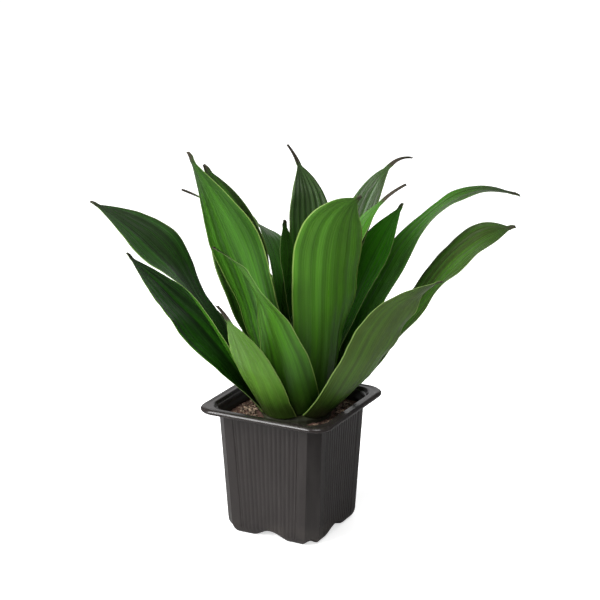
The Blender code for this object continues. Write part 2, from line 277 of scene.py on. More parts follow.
def curve_point(points, share):
    """Point and unit direction on a cubic curve."""
    rest = 1.0 - share
    spot = (points[0] * rest ** 3 + points[1] * 3.0 * rest ** 2 * share
            + points[2] * 3.0 * rest * share ** 2 + points[3] * share ** 3)
    along = ((points[1] - points[0]) * rest ** 2 + (points[2] - points[1]) * 2.0 * rest * share
             + (points[3] - points[2]) * share ** 2)
    return spot, along.normalized()


def dry_share(leaf, share):
    """How far along the dry tip a place is: 0 on the living blade, 1 at the very end."""
    return min(max((share - 1.0 + leaf.dry) / leaf.dry, 0.0), 1.0)


def half_width(leaf, share):
    """Half the blade's width: narrow at the root, widest past the middle, drawn out to a point."""
    full = leaf.width * 0.0005
    live = share / (1.0 - leaf.dry)
    if live < leaf.widest:
        return full * between(leaf.root, 1.0, math.sin(live / leaf.widest * math.pi / 2.0) ** 1.3)
    run = min((live - leaf.widest) / (1.0 - leaf.widest), 1.0)
    tip_half = between(DRY_HALF, TIP_HALF, dry_share(leaf, share)) * leaf.blunt
    return max(full * (1.0 - run ** 2.2) * (1.0 - 0.15 * run), tip_half)


def living_body(leaf, share):
    """How fully the surface relief shows: none at the root and none towards the dry tip."""
    return ease(share / 0.12) * ease((1.0 - leaf.dry - share) / 0.25)


def fold_wave(leaf, number, share, across):
    """The lengthwise folds across the blade, from -1 in a groove to 1 on a ridge."""
    return math.cos(math.pi * leaf.folds * across + 0.6 * math.sin(5.0 * share + number))


def surface_relief(leaf, number, share, across, half):
    """How far the living blade's folds, midrib groove and edge ripple lift it from its smooth form."""
    body = living_body(leaf, share)
    fold = fold_wave(leaf, number, share, across)
    folds = leaf.pleat * 0.001 * fold * min(half / 0.012, 1.0)
    groove = -MIDRIB_GROOVE * math.exp(-(across / MIDRIB_WIDTH) ** 2)
    drift = noise.noise(Vector((share * 7.0, across * 0.9, number * 3.1))) * DRIFT
    ripple = noise.noise(Vector((share * 16.0, math.copysign(2.0, across), number * 5.7)))
    edge = ripple * EDGE_RIPPLE * abs(across) ** 3
    return body * (folds + groove + drift + edge)


def blade_point(leaf, number, points, share, across):
    """A point of the blade: share runs from root to tip and across from -1 to 1."""
    spot, along = curve_point(points, share)
    turn = between(leaf.heading, leaf.azimuth + leaf.swing, share)
    flat = slope_direction(turn + 90.0, 0.0)
    side = (flat - along * along.dot(flat)).normalized()
    up = along.cross(side)
    roll = math.radians(along_leaf(leaf.roll, share))
    side_now = side * math.cos(roll) + up * math.sin(roll)
    up_now = up * math.cos(roll) - side * math.sin(roll)
    half = half_width(leaf, share)
    root_cup = half / (stem_radius(leaf.seat * 0.001) + GAP + BLADE)
    free_cup = math.radians(between(leaf.cup[0], leaf.cup[1], share))
    cup = max(between(root_cup, free_cup, ease(share / 0.35)), 0.02)
    cup = between(cup, DRY_CURL, dry_share(leaf, share + 0.01))
    sideways = half * math.sin(cup * across) / cup
    lift = half * (1.0 - math.cos(cup * across)) / cup
    edge = leaf.wave[0] if across < 0.0 else leaf.wave[1]
    swell = math.sin(math.pi * min(max((share - 0.15) / 0.8, 0.0), 1.0))
    ripple = edge * 0.001 * across * across * swell * math.sin(2.0 * math.pi * leaf.wave[2] * share)
    relief = surface_relief(leaf, number, share, across, half)
    return spot + side_now * sideways + up_now * (lift + ripple + relief)


def finish_mesh(name, builder, finishes):
    """A mesh object at the origin from a filled bmesh, with its materials."""
    mesh = bpy.data.meshes.new(name)
    builder.to_mesh(mesh)
    builder.free()
    made = bpy.data.objects.new(name, mesh)
    for finish in finishes:
        mesh.materials.append(finish)
    bpy.context.scene.collection.objects.link(made)
    mesh.shade_smooth()
    return made


def place_piece(piece, slot, *nodes):
    """Say what a piece rides on and which solids it stands for. The slot is not used."""
    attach(piece, "root")
    if nodes:
        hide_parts(*nodes)


# Leaf blades

def make_leaf(number, leaf, finishes):
    """A fine blade: a grid with its own map, bent to the leaf's form, then given its thickness.

    Its vertices carry what the material reads: look is tone with a half's painted shade, the painted grey
    sheen of bloom and olive, dryness marks the dry tip, crease the folds' grooves for their painted shade,
    and pattern keeps one leaf's veins from matching another's.
    """
    builder = bmesh.new()
    builder.loops.layers.uv.new("UVMap")
    look = builder.verts.layers.float_vector.new("look")
    dryness = builder.verts.layers.float.new("dryness")
    groove_shade = builder.verts.layers.float.new("groove_shade")
    pattern = builder.verts.layers.float.new("pattern")
    thickness = builder.verts.layers.deform.new()
    bmesh.ops.create_grid(builder, x_segments=LEAF_SPANS, y_segments=LEAF_COLUMNS, size=1.0, calc_uvs=True)
    points = midrib(leaf)
    dry_start = 1.0 - leaf.dry
    for vertex in builder.verts:
        share = (vertex.co.x + 1.0) / 2.0
        across = vertex.co.y
        # Tone, less painted shade on one half of the blade, and a painted grey sheen that grows towards the
        # tip
        tone = leaf.tone - leaf.fade * share + leaf.half_shade * ease(across + 0.5) - leaf.half_shade * 0.5
        vertex[look] = (tone, leaf.grey_sheen * ease((share - 0.2) / 0.5), leaf.olive)
        # How deep in a fold's groove a place is, for the painted shade there
        groove = 0.5 - 0.5 * fold_wave(leaf, number, share, across)
        vertex[groove_shade] = groove * living_body(leaf, share) * leaf.pleat
        vertex[pattern] = number * PATTERN_STEP
        frayed = noise.noise(Vector((across * 2.0, number * 1.7, 0.0))) * 0.03
        vertex[dryness] = ease((share - dry_start + 0.035 + frayed - 0.02 * across * across) / 0.045)
        vertex[thickness][0] = between(1.0, 0.45, abs(across) ** 4) * between(1.0, 0.75, share)
        vertex.co = blade_point(leaf, number, points, share, across)
    piece = finish_mesh(f"leaf_blade_{number:02d}", builder, finishes)
    group = piece.vertex_groups.new(name="thickness")
    skin = piece.modifiers.new("thickness", "SOLIDIFY")
    skin.thickness = LIVE_BLADE
    skin.offset = 0.0
    skin.vertex_group = group.name
    skin.material_offset = 1
    skin.material_offset_rim = 2
    place_piece(piece, "leaf", f"leaf_{number:02d}")


# Materials

def new_material(name, roughness):
    """A material with its Principled shader, and the shader."""
    made = bpy.data.materials.new(name)
    made.use_nodes = True
    shader = made.node_tree.nodes["Principled BSDF"]
    shader.inputs["Roughness"].default_value = roughness
    shader.inputs["Metallic"].default_value = 0.0
    return made, shader


def math_node(tree, operation, first, second=None, third=None, clamp=False):
    """A Math node fed by sockets or plain numbers, and its result."""
    made = tree.nodes.new("ShaderNodeMath")
    made.operation = operation
    made.use_clamp = clamp
    for index, value in enumerate((first, second, third)):
        if value is None:
            continue
        if isinstance(value, (int, float)):
            made.inputs[index].default_value = value
        else:
            tree.links.new(value, made.inputs[index])
    return made.outputs[0]


def smooth_range(tree, value, low, high):
    """0 below low and 1 above high, smooth between."""
    made = tree.nodes.new("ShaderNodeMapRange")
    made.interpolation_type = "SMOOTHSTEP"
    tree.links.new(value, made.inputs["Value"])
    made.inputs["From Min"].default_value = low
    made.inputs["From Max"].default_value = high
    return made.outputs["Result"]


def mix_colour(tree, share, first, second):
    """A colour mix fed by sockets or plain values."""
    made = tree.nodes.new("ShaderNodeMix")
    made.data_type = "RGBA"
    factor = made.inputs[0]
    colour_a = made.inputs[6]
    colour_b = made.inputs[7]
    for socket, value in ((factor, share), (colour_a, first), (colour_b, second)):
        if isinstance(value, (int, float)):
            socket.default_value = value
        elif isinstance(value, tuple):
            socket.default_value = (*value, 1.0)
        else:
            tree.links.new(value, socket)
    return made.outputs[2]


def scaled(tree, value, factor):
    """A value times a plain number or another value."""
    return math_node(tree, "MULTIPLY", value, factor)


def attribute(tree, name):
    """The node that reads one of the piece's own attributes."""
    made = tree.nodes.new("ShaderNodeAttribute")
    made.attribute_name = name
    return made


def object_place(tree):
    """The place on the piece, in metres."""
    return tree.nodes.new("ShaderNodeTexCoord").outputs["Object"]


def parts_of(tree, vector):
    """The three parts of a vector."""
    made = tree.nodes.new("ShaderNodeSeparateXYZ")
    tree.links.new(vector, made.inputs[0])
    return made.outputs


def add_bump(tree, shader, height, strength, distance):
    """Fine relief from a value, seen only in the shading."""
    made = tree.nodes.new("ShaderNodeBump")
    made.inputs["Strength"].default_value = strength
    made.inputs["Distance"].default_value = distance
    tree.links.new(height, made.inputs["Height"])
    tree.links.new(made.outputs["Normal"], shader.inputs["Normal"])


def combine(tree, x, y, z):
    """A vector from sockets or plain numbers."""
    made = tree.nodes.new("ShaderNodeCombineXYZ")
    for index, value in enumerate((x, y, z)):
        if isinstance(value, (int, float)):
            made.inputs[index].default_value = value
        else:
            tree.links.new(value, made.inputs[index])
    return made.outputs[0]


def noise_value(tree, vector, scale, detail=2.0, roughness=0.5):
    """The value of a noise texture on a vector."""
    made = tree.nodes.new("ShaderNodeTexNoise")
    made.inputs["Scale"].default_value = scale
    made.inputs["Detail"].default_value = detail
    made.inputs["Roughness"].default_value = roughness
    tree.links.new(vector, made.inputs["Vector"])
    return made.outputs["Fac"]


def new_group(name, inputs, outputs):
    """An empty node group with named colour, value and vector sockets."""
    kinds = {"colour": "NodeSocketColor", "value": "NodeSocketFloat", "vector": "NodeSocketVector"}
    tree = bpy.data.node_groups.new(name, "ShaderNodeTree")
    for label, kind, start in inputs:
        socket = tree.interface.new_socket(label, in_out="INPUT", socket_type=kinds[kind])
        if start is not None:
            socket.default_value = start
    for label, kind in outputs:
        tree.interface.new_socket(label, in_out="OUTPUT", socket_type=kinds[kind])
    entry = tree.nodes.new("NodeGroupInput")
    leave = tree.nodes.new("NodeGroupOutput")
    return tree, entry, leave


def vein_group():
    """What a blade's own map shows: fine veins, broad bands, the midrib, the edge and the way along.

    The veins and bands run along the blade, and the seed changes them from leaf to leaf.
    """
    tree, entry, leave = new_group(
        "leaf veins", [("Map", "vector", None), ("Seed", "value", 0.0)],
        [("Fine", "value"), ("Bands", "value"), ("Midrib", "value"), ("Edge", "value"), ("Along", "value")])
    along, across, _ = parts_of(tree, entry.outputs["Map"])
    seed = entry.outputs["Seed"]
    fine_place = combine(tree, scaled(tree, along, 1.3), scaled(tree, across, 46.0), seed)
    fine = noise_value(tree, fine_place, 1.0, 1.0)
    band_place = combine(tree, scaled(tree, along, 0.6), scaled(tree, across, 8.5), seed)
    bands = noise_value(tree, band_place, 1.0, 1.5)
    centred = math_node(tree, "ABSOLUTE", math_node(tree, "SUBTRACT", across, 0.5))
    rib = math_node(tree, "SUBTRACT", 1.0, smooth_range(tree, centred, 0.0, 0.022))
    edge = smooth_range(tree, centred, 0.474, 0.488)
    tree.links.new(smooth_range(tree, fine, 0.3, 0.7), leave.inputs["Fine"])
    tree.links.new(smooth_range(tree, bands, 0.3, 0.7), leave.inputs["Bands"])
    tree.links.new(rib, leave.inputs["Midrib"])
    tree.links.new(edge, leave.inputs["Edge"])
    tree.links.new(along, leave.inputs["Along"])
    return tree


def blade_material(name, veins, dark, bright, cast, cast_share, pale, roughness):
    """One side of a blade, from its darkest and brightest green, its grey cast for the painted sheen and its
    pale edge.
    """
    made, shader = new_material(name, roughness)
    tree = made.node_tree
    uv = tree.nodes.new("ShaderNodeUVMap")
    uv.uv_map = "UVMap"
    tone, grey_sheen, olive = parts_of(tree, attribute(tree, "look").outputs["Vector"])
    dry = attribute(tree, "dryness").outputs["Fac"]
    groove_shade = attribute(tree, "groove_shade").outputs["Fac"]
    vein = tree.nodes.new("ShaderNodeGroup")
    vein.node_tree = veins
    tree.links.new(uv.outputs[0], vein.inputs["Map"])
    tree.links.new(attribute(tree, "pattern").outputs["Fac"], vein.inputs["Seed"])
    fine, bands, rib, edge, along = vein.outputs
    place = object_place(tree)
    blotch = noise_value(tree, place, 42.0, 3.0)

    banded = math_node(tree, "MULTIPLY_ADD", bands, 0.56, -0.28)
    lined = math_node(tree, "MULTIPLY_ADD", fine, 0.36, -0.18)
    patchy = math_node(tree, "MULTIPLY_ADD", blotch, 0.12, -0.06)
    level = math_node(tree, "ADD", math_node(tree, "ADD", tone, banded),
                      math_node(tree, "ADD", lined, patchy))
    level = math_node(tree, "SUBTRACT", level, scaled(tree, rib, 0.12))
    green = mix_colour(tree, math_node(tree, "MULTIPLY", level, 0.625, clamp=True), dark, bright)
    green = mix_colour(tree, scaled(tree, olive, 0.6), green, OLIVE)
    # Painted sheen: a grey cast where the blade would mirror the pale surroundings
    green = mix_colour(tree, scaled(tree, grey_sheen, cast_share), green, cast)
    # Painted shade in the grooves of the lengthwise folds
    green = mix_colour(tree, scaled(tree, groove_shade, 0.75), green, GROOVE_SHADE_GREEN)
    # Painted shade at the base of the leaf, where the leaves crowd round the stem
    root = math_node(tree, "SUBTRACT", 1.0, smooth_range(tree, along, 0.02, 0.34))
    green = mix_colour(tree, scaled(tree, root, 0.8), green, BASE_SHADE_GREEN)
    end = smooth_range(tree, along, 0.74, 0.99)
    green = mix_colour(tree, scaled(tree, end, 0.5), green, END_GREEN)
    green = mix_colour(tree, scaled(tree, edge, 0.85), green, pale)
    brown = mix_colour(tree, blotch, DRY_DARK, DRY_LIGHT)
    tree.links.new(mix_colour(tree, dry, green, brown), shader.inputs["Base Color"])

    rough = math_node(tree, "MULTIPLY_ADD", blotch, 0.16, roughness - 0.08)
    rough = math_node(tree, "ADD", rough, scaled(tree, dry, 0.3))
    rough = math_node(tree, "SUBTRACT", rough, scaled(tree, fine, 0.08))
    tree.links.new(rough, shader.inputs["Roughness"])
    grain = noise_value(tree, place, 900.0, 2.0)
    relief = math_node(tree, "ADD", scaled(tree, fine, 0.8), scaled(tree, grain, 0.25))
    add_bump(tree, shader, relief, 0.35, 0.0004)
    shader.inputs["Specular IOR Level"].default_value = 0.22
    shader.inputs["Subsurface Weight"].default_value = 0.12
    shader.inputs["Subsurface Radius"].default_value = (0.6, 1.0, 0.3)
    shader.inputs["Subsurface Scale"].default_value = 0.0012
    return made


def pot_material():
    """Dark grey moulded plastic: satin with faint flow streaks, dust near the foot and a glossier rim."""
    made, shader = new_material("pot plastic", 0.4)
    shader.inputs["Specular IOR Level"].default_value = 0.4
    tree = made.node_tree
    place = object_place(tree)
    x, y, z = parts_of(tree, place)
    streak_place = combine(tree, scaled(tree, x, 260.0), scaled(tree, y, 260.0), scaled(tree, z, 9.0))
    streak = smooth_range(tree, noise_value(tree, streak_place, 1.0, 2.0), 0.45, 0.75)
    cloud = noise_value(tree, place, 38.0, 4.0, 0.6)
    colour = mix_colour(tree, cloud, (0.0145, 0.0118, 0.0112), (0.0235, 0.0193, 0.0183))
    colour = mix_colour(tree, scaled(tree, streak, 0.35), colour, (0.038, 0.033, 0.031))
    low = math_node(tree, "SUBTRACT", 1.0, smooth_range(tree, z, 0.0, 0.02))
    dusty = scaled(tree, low, smooth_range(tree, cloud, 0.4, 0.7))
    colour = mix_colour(tree, scaled(tree, dusty, 0.25), colour, (0.10, 0.085, 0.07))
    tree.links.new(colour, shader.inputs["Base Color"])
    rough = math_node(tree, "MULTIPLY_ADD", cloud, 0.22, 0.30)
    rim = smooth_range(tree, z, LIP - 0.001, LIP + 0.001)
    rough = math_node(tree, "SUBTRACT", rough, scaled(tree, rim, 0.23))
    tree.links.new(rough, shader.inputs["Roughness"])
    add_bump(tree, shader, noise_value(tree, place, 1500.0, 2.0), 0.12, 0.0002)
    return made


def earth_material(name, dark, light, roughness, scale):
    """Crumbly mix or bark: two browns broken up at a given scale, lightened by the piece's own shade."""
    made, shader = new_material(name, roughness)
    tree = made.node_tree
    place = object_place(tree)
    coarse = noise_value(tree, place, scale, 6.0, 0.65)
    fine = noise_value(tree, place, scale * 6.0, 3.0, 0.6)
    shade = attribute(tree, "shade").outputs["Fac"]
    lumps = smooth_range(tree, coarse, 0.3, 0.75)
    level = math_node(tree, "ADD", scaled(tree, lumps, 0.5), shade, clamp=True)
    colour = mix_colour(tree, level, dark, light)
    colour = mix_colour(tree, scaled(tree, fine, 0.4), colour, dark)
    tree.links.new(colour, shader.inputs["Base Color"])
    rough = math_node(tree, "MULTIPLY_ADD", fine, 0.2, roughness - 0.1)
    tree.links.new(rough, shader.inputs["Roughness"])
    add_bump(tree, shader, fine, 0.7, 0.0006)
    return made


def stem_material():
    """Pale green skin ringed by old leaf seats, darkened near the soil as painted shade, and green at the
    top.
    """
    made, shader = new_material("stem skin", 0.6)
    tree = made.node_tree
    place = object_place(tree)
    cloud = noise_value(tree, place, 90.0, 3.0)
    height = math_node(tree, "MULTIPLY_ADD", cloud, 0.004, parts_of(tree, place)["Z"])
    rings = math_node(tree, "SINE", scaled(tree, height, 1400.0))
    band = smooth_range(tree, rings, 0.3, 0.95)
    colour = mix_colour(tree, cloud, (0.12, 0.20, 0.05), (0.26, 0.32, 0.12))
    colour = mix_colour(tree, scaled(tree, band, 0.6), colour, (0.11, 0.08, 0.04))
    # Painted shade: dark just above the soil, where the leaf bases shade the stem
    unshaded = smooth_range(tree, height, SOIL_LEVEL + 0.004, SOIL_LEVEL + 0.016)
    colour = mix_colour(tree, unshaded, (0.016, 0.020, 0.006), colour)
    top = smooth_range(tree, height, SOIL_LEVEL + STEM_RISE - 0.015, SOIL_LEVEL + STEM_RISE)
    colour = mix_colour(tree, top, colour, (0.025, 0.070, 0.010))
    tree.links.new(colour, shader.inputs["Base Color"])
    tree.links.new(math_node(tree, "MULTIPLY_ADD", cloud, 0.2, 0.5), shader.inputs["Roughness"])
    add_bump(tree, shader, rings, 0.5, 0.0005)
    return made


# Pot

def outline(half, cut, roundness):
    """Points round a square with cut corners: place, outward direction and place along the flat.

    The last runs from -1 to 1 on a side and is None on a corner. Roundness turns the cut into an arc.
    """
    flat = half - cut
    side = []
    for step in range(SIDE_POINTS):
        share = between(-1.0, 1.0, step / SIDE_POINTS)
        side.append((share * flat, -half, share))
    for step in range(CORNER_POINTS):
        share = step / CORNER_POINTS
        turn = share * math.pi / 2.0
        x = between(between(flat, half, share), flat + cut * math.sin(turn), roundness)
        y = between(between(-half, -flat, share), -flat - cut * math.cos(turn), roundness)
        side.append((x, y, None))
    points = []
    for quarter in range(4):
        turn = quarter * math.pi / 2.0
        out = Vector((math.sin(turn), -math.cos(turn), 0.0))
        for x, y, share in side:
            spot = Vector((x * math.cos(turn) - y * math.sin(turn),
                           x * math.sin(turn) + y * math.cos(turn), 0.0))
            points.append((spot, out, share))
    return points


def foot_level(half, spot, share):
    """Height of the scalloped lower edge at a point of the outline."""
    if share is None:
        corner = (abs(spot.x) - abs(spot.y)) / CHAMFER
        return CORNER_ARCH_HEIGHT * math.cos(corner * math.pi / 2.0) ** 2
    along = abs(share) * (half - CHAMFER)
    if along < ARCH_HALF:
        return ARCH_HEIGHT * 0.5 * (1.0 + math.cos(math.pi * along / ARCH_HALF)) ** 0.8
    return 0.0


def wall_half(height):
    """Half the pot's outer width at a height."""
    return between(WALL_HALF_FOOT, WALL_HALF_TOP, height / POT_HEIGHT)


def rib_relief(half, share):
    """Depth of the wall's upright ribs and of the groove beside each plain band."""
    if share is None:
        return 0.0
    flat = half - CHAMFER
    along = share * flat
    ribbed = flat - PLAIN_BAND
    groove = GROOVE_DEPTH * math.exp(-((abs(along) - ribbed) / GROOVE_WIDTH * 2.0) ** 2)
    if abs(along) > ribbed:
        return -groove
    wave = math.cos(math.pi * RIBS * (along / ribbed + 1.0))
    return -groove - RIB_DEPTH * (0.5 - 0.5 * wave) ** 1.6


def pot_ring(half, height, cut=CHAMFER, roundness=0.0, drop=0.0, inset=0.0, ribbed=0.0):
    """One ring of places: drop brings it down to the scalloped edge, inset in, and ribbed adds the ribs."""
    places = []
    for spot, out, share in outline(half - inset, cut, roundness):
        level = between(height, foot_level(half, spot, share), drop)
        relief = rib_relief(half, share) * ribbed
        places.append(Vector((spot.x + out.x * relief, spot.y + out.y * relief, level)))
    return places


def round_places(radius, height):
    """A circle of places that matches the pot's outline point for point."""
    places = []
    for spot, _, _ in outline(WALL_HALF_FOOT, CHAMFER, 0.0):
        turn = math.atan2(spot.y, spot.x)
        places.append(Vector((radius * math.cos(turn), radius * math.sin(turn), height)))
    return places


def smooth_value(before, start, stop, after, share):
    """A number between start and stop, on a smooth curve that the numbers on either side shape."""
    return 0.5 * (2.0 * start + (stop - before) * share
                  + (2.0 * before - 5.0 * start + 4.0 * stop - after) * share * share
                  + (3.0 * start - before - 3.0 * stop + after) * share ** 3)


def through_points(rows, steps):
    """More rows on a smooth curve through the given rows of numbers."""
    finer = []
    last = len(rows) - 1
    for index in range(last):
        before = rows[max(index - 1, 0)]
        start = rows[index]
        stop = rows[index + 1]
        after = rows[min(index + 2, last)]
        for step in range(steps):
            share = step / steps
            finer.append([smooth_value(*values, share) for values in zip(before, start, stop, after)])
    finer.append(rows[last])
    return finer


def grown_copies(row, grown):
    """The new vertices of an extrusion, in the order of the vertices that they grew from."""
    fresh = {item for item in grown if isinstance(item, bmesh.types.BMVert)}
    copies = []
    for vertex in row:
        neighbours = [edge.other_vert(vertex) for edge in vertex.link_edges]
        copies.append(next(other for other in neighbours if other in fresh))
    return copies


def sweep_rings(rings, close_low, close_high):
    """A skin drawn from ring to ring by extruding the first ring's edges, closed by a fan at each end."""
    builder = bmesh.new()
    start = bmesh.ops.create_circle(builder, segments=len(rings[0]), radius=1.0, cap_ends=False)["verts"]
    edges = list(builder.edges)
    row = sorted(start, key=lambda vertex: vertex.index)
    for vertex, place in zip(row, rings[0]):
        vertex.co = place
    first_row = row
    for places in rings[1:]:
        grown = bmesh.ops.extrude_edge_only(builder, edges=edges)["geom"]
        edges = [item for item in grown if isinstance(item, bmesh.types.BMEdge)]
        row = grown_copies(row, grown)
        for vertex, place in zip(row, places):
            vertex.co = place
    for ends, pole in ((first_row, close_low), (row, close_high)):
        cap = builder.faces.new(ends)
        fan = bmesh.ops.poke(builder, faces=[cap])
        fan["verts"][0].co = pole
    bmesh.ops.recalc_face_normals(builder, faces=builder.faces)
    return builder


def foot_rings():
    """Rings from the pad over the pot's underside, down to the scalloped edge and up to the wall."""
    foot_inset = FILLET_INSET + FOOT_WIDTH
    rings = [
        round_places(PAD_RADIUS - PAD_EDGE, 0.0),
        round_places(PAD_RADIUS, PAD_EDGE),
        round_places(PAD_RADIUS + PAD_FLARE, FLOOR_LOW),
        pot_ring(wall_half(FLOOR_LOW), FLOOR_LOW, inset=FOOT_WIDTH + FLOOR_EDGE),
        pot_ring(WALL_HALF_FOOT, FLOOR_LOW, inset=foot_inset + 0.0002, drop=0.2),
        pot_ring(WALL_HALF_FOOT, FLOOR_LOW, inset=foot_inset, drop=0.95),
        pot_ring(WALL_HALF_FOOT, FLOOR_LOW, inset=foot_inset - 0.0005, drop=1.0),
    ]
    for step in range(FILLET_STEPS + 1):
        turn = between(math.pi / 2.0, 0.0, step / FILLET_STEPS)
        drop = math.sin(turn)
        half = wall_half(FILLET_HEIGHT) if step else WALL_HALF_FOOT
        rings.append(pot_ring(half, FILLET_HEIGHT, drop=drop, inset=FILLET_INSET * (1.0 - math.cos(turn)),
                              ribbed=ease((0.8 - drop) / 0.7)))
    return rings


def wall_rings():
    """Rings up the ribbed wall, whose ribs fade out just below the rim."""
    rings = []
    for step in range(1, WALL_STEPS + 1):
        height = between(FILLET_HEIGHT, LIP - RIBS_END, step / WALL_STEPS)
        rings.append(pot_ring(wall_half(height), height, ribbed=1.0))
    faded = LIP - RIBS_FADE
    rings.append(pot_ring(wall_half(faded), faded, ribbed=0.3))
    return rings


def rim_rings():
    """Rings round the rolled rim."""
    rings = []
    for half, height, roundness in through_points(RIM_PROFILE, RIM_STEPS):
        rings.append(pot_ring(min(half, RIM_HALF), min(height, POT_HEIGHT),
                              cut=between(CHAMFER, RIM_CORNER, roundness),
                              roundness=min(max(roundness, 0.0), 1.0)))
    return rings


def inside_rings():
    """Rings down the wall's inner face to the floor."""
    rings = []
    for height in (SOIL_LEVEL, 0.085, 0.06, 0.03, FLOOR_TOP):
        rings.append(pot_ring(wall_half(height), height, inset=WALL))
    return rings


def drill_drains(pot, finish):
    """Cut the four drain holes through the pot's floor."""
    drill = bmesh.new()
    for quarter in range(4):
        turn = quarter * math.pi / 2.0 + math.pi / 4.0
        centre = Vector((math.cos(turn) * DRAIN_REACH, math.sin(turn) * DRAIN_REACH, FLOOR_LOW))
        hole = bmesh.ops.create_cone(drill, cap_ends=True, segments=DRAIN_SIDES, radius1=DRAIN_RADIUS,
                                     radius2=DRAIN_RADIUS, depth=DRAIN_DEPTH)
        bmesh.ops.translate(drill, verts=hole["verts"], vec=centre)
    cutter = finish_mesh("drain_cutter", drill, [finish])
    cut = pot.modifiers.new("drain holes", "BOOLEAN")
    cut.operation = "DIFFERENCE"
    cut.object = cutter
    graph = bpy.context.evaluated_depsgraph_get()
    drilled = bpy.data.meshes.new_from_object(pot.evaluated_get(graph))
    pot.modifiers.clear()
    pot.data = drilled
    bpy.data.objects.remove(cutter)


def make_pot(finish):
    """The pot: ribbed wall, rolled rim, scalloped foot, floor with pad and drain holes."""
    rings = foot_rings() + wall_rings() + rim_rings() + inside_rings()
    builder = sweep_rings(rings, Vector((0.0, 0.0, 0.0)), Vector((0.0, 0.0, FLOOR_TOP)))
    pot = finish_mesh("ribbed_pot", builder, [finish])
    pot.data.set_sharp_from_angle(angle=math.radians(POT_CREASE))
    drill_drains(pot, finish)
    place_piece(pot, "pot_plastic", "pot")


# Soil

def soil_height(x, y):
    """Height of the crumbly surface at a place."""
    broad = noise.noise(Vector((x, y, 0.3)) * 140.0) * 0.0007
    lumps = noise.noise(Vector((x, y, 1.7)) * 420.0) * 0.0008
    crumbs = noise.noise(Vector((x, y, 4.1)) * 1100.0) * 0.0004
    return SOIL_LEVEL - 0.0006 + broad + lumps + crumbs


def make_soil(finish):
    """The potting mix: a fine grid wrapped round the stem, with a skirt on its outer and inner edge."""
    builder = bmesh.new()
    shade = builder.verts.layers.float.new("shade")
    bmesh.ops.create_grid(builder, x_segments=SOIL_AROUND, y_segments=SOIL_ROUNDS, size=1.0)
    half = wall_half(SOIL_LEVEL) - WALL - GAP
    limit = 2.0 * half - CHAMFER
    hole = STEM_RADIUS + GAP
    low = FLOOR_TOP + GAP
    for vertex in builder.verts:
        turn = (vertex.co.x + 1.0) * math.pi
        share = (vertex.co.y + 1.0) / 2.0
        way = Vector((math.cos(turn), math.sin(turn)))
        reach = min(half / max(abs(way.x), abs(way.y)), limit / (abs(way.x) + abs(way.y)))
        outer = Vector((way.x * reach, way.y * reach))
        inner = Vector((PLANT.x + way.x * hole, PLANT.y + way.y * hole))
        spot = inner.lerp(outer, share)
        vertex.co = (spot.x, spot.y, soil_height(spot.x, spot.y))
        vertex[shade] = 0.0
    bmesh.ops.remove_doubles(builder, verts=builder.verts, dist=0.00001)
    rims = [edge for edge in builder.edges if edge.is_boundary]
    skirt = bmesh.ops.extrude_edge_only(builder, edges=rims)["geom"]
    low_half = wall_half(low) - WALL - GAP
    for vertex in (item for item in skirt if isinstance(item, bmesh.types.BMVert)):
        offset = math.hypot(vertex.co.x - PLANT.x, vertex.co.y - PLANT.y)
        if offset < hole + 0.0005:
            vertex.co.z = SOIL_LEVEL - STEM_DEPTH
        else:
            vertex.co = (vertex.co.x * low_half / half, vertex.co.y * low_half / half, low)
    bmesh.ops.holes_fill(builder, edges=[edge for edge in builder.edges if edge.is_boundary])
    bmesh.ops.recalc_face_normals(builder, faces=builder.faces)
    soil = finish_mesh("potting_mix", builder, [finish])
    soil.data.set_sharp_from_angle(angle=math.radians(SOIL_CREASE))
    place_piece(soil, "soil", "soil")


def make_bits(finish):
    """Chips of bark and a few pale bits lying in the mix."""
    chance = random.Random(11)
    builder = bmesh.new()
    shade = builder.verts.layers.float.new("shade")
    half = wall_half(SOIL_LEVEL) - WALL - BITS_MARGIN
    limit = 2.0 * half - CHAMFER
    placed = 0
    while placed < BARK_BITS:
        x = chance.uniform(-half, half)
        y = chance.uniform(-half, half)
        near_stem = math.hypot(x - PLANT.x, y - PLANT.y) < STEM_RADIUS + BITS_MARGIN
        if near_stem or abs(x) + abs(y) > limit:
            continue
        placed += 1
        chip = bmesh.ops.create_icosphere(builder, subdivisions=1, radius=1.0)["verts"]
        pale = chance.random() < PALE_SHARE
        length = chance.uniform(0.0008, 0.0030) * (0.7 if pale else 1.0)
        size = Vector((length, length * chance.uniform(0.3, 0.6), length * chance.uniform(0.15, 0.4)))
        turn = Matrix.Rotation(chance.uniform(0.0, math.tau), 4, "Z")
        tilt = Matrix.Rotation(chance.uniform(-0.5, 0.5), 4, "Y")
        spot = Vector((x, y, soil_height(x, y) + size.z * 0.4))
        colour = chance.uniform(0.5, 0.95) if pale else chance.uniform(-0.1, 0.3)
        for vertex in chip:
            vertex.co = Vector((vertex.co.x * size.x, vertex.co.y * size.y, vertex.co.z * size.z))
            vertex[shade] = colour
        bmesh.ops.transform(builder, matrix=Matrix.Translation(spot) @ turn @ tilt, verts=chip)
    bits = finish_mesh("bark_bits", builder, [finish])
    place_piece(bits, "soil")


# Studio

def area_light(name, place, aim, size, power):
    """A soft white light that looks at a point."""
    data = bpy.data.lights.new(name, "AREA")
    data.shape = "RECTANGLE"
    data.size = size[0]
    data.size_y = size[1]
    data.energy = power
    lamp = bpy.data.objects.new(name, data)
    bpy.context.scene.collection.objects.link(lamp)
    lamp.location = place
    lamp.rotation_euler = (Vector(aim) - Vector(place)).to_track_quat("-Z", "Y").to_euler()


